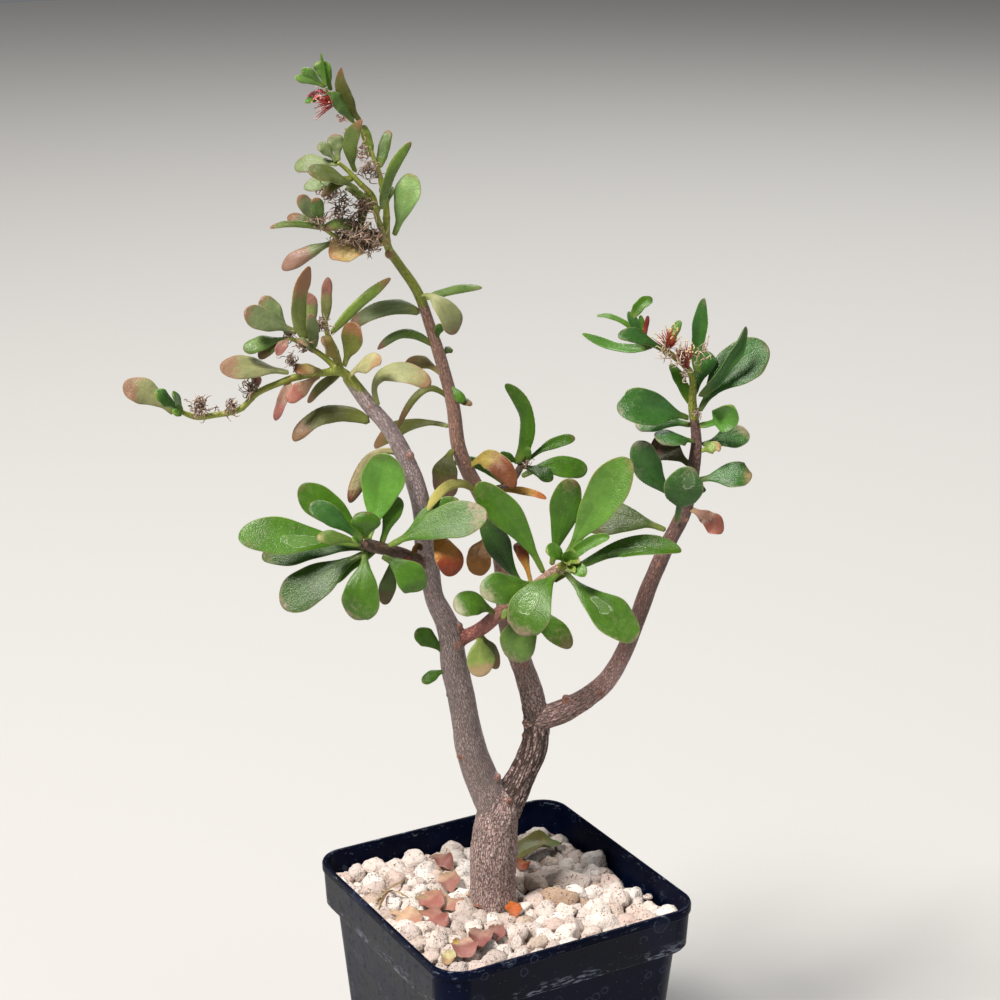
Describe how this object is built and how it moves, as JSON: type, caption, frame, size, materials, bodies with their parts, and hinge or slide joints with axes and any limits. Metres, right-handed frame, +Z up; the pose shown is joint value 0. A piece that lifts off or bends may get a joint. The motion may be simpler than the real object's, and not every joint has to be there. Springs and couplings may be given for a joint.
{
  "type": "potted sedum",
  "caption": "Small branching succulent with a woody forked trunk, leaf rosettes and flower sprays, growing in a square plastic nursery pot under a pumice top dressing.",
  "frame": {"origin": "centre of the pot's flat underside", "axes": "+Z up, X and Y parallel to the pot's sides; the crown spreads widest along a direction 30 degrees clockwise from X, seen from above"},
  "size_m": [0.1779, 0.0968, 0.3451],
  "materials": {
    "pot_plastic": "black nursery-pot plastic, satin, with dried water marks and rubbed edges",
    "potting_mix": "dark crumbly potting mix",
    "pumice": "matt cream and pinkish pumice pebbles, pitted",
    "bark": "grey-brown to mauve bark, fine pale flecks on the trunk, smoother above, green at the young ends",
    "green_stem": "yellow-green young stem, smooth and slightly glossy",
    "green_leaf": "fleshy green leaf, waxy sheen, pale finely toothed margin",
    "dull_leaf": "older olive leaf, matt, tan at the tip",
    "blushed_leaf": "grey-green leaf blushed pink towards the tip",
    "withering_leaf": "yellowing to orange-brown leaf, matt"
  },
  "bodies": {
    "root": {"nursery_pot": "pot_plastic", "potting_mix": "potting_mix", "pumice_top_dressing": "pumice", "woody_stem": "bark", "top_flower_stems": "green_stem", "left_flower_stems": "green_stem", "left_rosette_leaf_1": "green_leaf", "left_rosette_leaf_2": "green_leaf", "left_rosette_leaf_3": "green_leaf", "left_rosette_leaf_4": "green_leaf", "left_rosette_leaf_5": "green_leaf", "left_rosette_leaf_6": "green_leaf", "left_rosette_leaf_7": "green_leaf", "left_rosette_leaf_8": "green_leaf", "left_rosette_leaf_9": "green_leaf", "left_rosette_leaf_10": "green_leaf", "right_rosette_leaf_1": "green_leaf", "right_rosette_leaf_2": "green_leaf", "right_rosette_leaf_3": "green_leaf", "right_rosette_leaf_4": "green_leaf", "right_rosette_leaf_5": "green_leaf", "right_rosette_leaf_6": "green_leaf", "right_rosette_leaf_7": "green_leaf", "right_rosette_leaf_8": "green_leaf", "right_rosette_leaf_9": "green_leaf", "right_rosette_leaf_10": "dull_leaf", "right_branch_leaf_1": "green_leaf", "right_branch_leaf_2": "green_leaf", "right_branch_leaf_3": "green_leaf", "right_branch_leaf_4": "dull_leaf", "right_branch_leaf_5": "green_leaf", "right_branch_leaf_6": "green_leaf", "right_branch_leaf_7": "green_leaf", "right_branch_leaf_8": "green_leaf", "right_branch_leaf_9": "green_leaf", "right_branch_leaf_10": "green_leaf", "right_branch_leaf_11": "green_leaf", "right_branch_leaf_12": "green_leaf", "centre_branch_leaf_1": "withering_leaf", "centre_branch_leaf_2": "dull_leaf", "centre_branch_leaf_3": "dull_leaf", "centre_branch_leaf_4": "blushed_leaf", "centre_branch_leaf_5": "withering_leaf", "back_shoot_leaf_1": "green_leaf", "back_shoot_leaf_2": "green_leaf", "left_branch_leaf_1": "withering_leaf", "left_branch_leaf_2": "dull_leaf", "left_branch_leaf_3": "withering_leaf", "left_spray_leaf_1": "blushed_leaf", "left_spray_leaf_2": "blushed_leaf", "left_spray_leaf_3": "dull_leaf", "left_spray_leaf_4": "withering_leaf", "left_spray_leaf_5": "blushed_leaf", "left_spray_leaf_6": "blushed_leaf", "top_spray_leaf_1": "green_leaf", "top_spray_leaf_2": "green_leaf", "top_spray_leaf_3": "dull_leaf", "top_spray_leaf_4": "green_leaf", "top_spray_leaf_5": "green_leaf", "top_spray_leaf_6": "green_leaf"}
  },
  "joints": []
}
